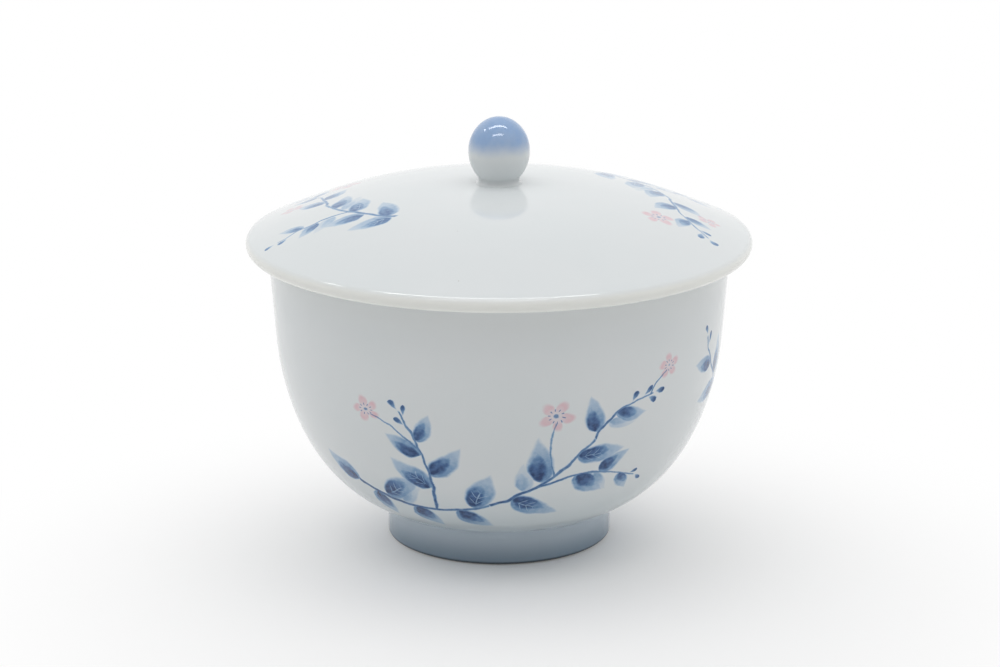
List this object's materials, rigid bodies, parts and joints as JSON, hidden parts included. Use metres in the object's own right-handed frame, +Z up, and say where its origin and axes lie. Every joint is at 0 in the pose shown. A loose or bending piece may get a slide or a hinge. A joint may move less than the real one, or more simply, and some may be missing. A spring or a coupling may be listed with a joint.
{
  "type": "lidded rice bowl",
  "caption": "Footed porcelain bowl with a loose domed lid. The lid rests on the bowl's lip, is centred by a flange inside the mouth and lifts off by its ball knob.",
  "frame": {"origin": "centre of the foot ring, on the table", "axes": "+Z up along the turning axis, from the foot to the knob; -Y is the front that carries the painted spray"},
  "size_m": [0.112, 0.112, 0.0952],
  "materials": {
    "white_glaze": "clear gloss glaze over white porcelain, with brushed blue and pink underglaze sprays",
    "foot_wash": "clear gloss glaze over a grey-blue wash, bare clay where it stands",
    "knob_wash": "clear gloss glaze over a blue wash that fades to white at the neck"
  },
  "bodies": {
    "bowl": {"bowl": "white_glaze", "foot_ring": "foot_wash"},
    "lid": {"lid": "white_glaze", "lid_flange": "white_glaze", "knob": "knob_wash"}
  },
  "joints": [
    {"name": "lid_lift", "type": "slide", "parent": "bowl", "child": "lid", "axis": [0, 0, 1], "range_m": [0, 0.1]}
  ]
}
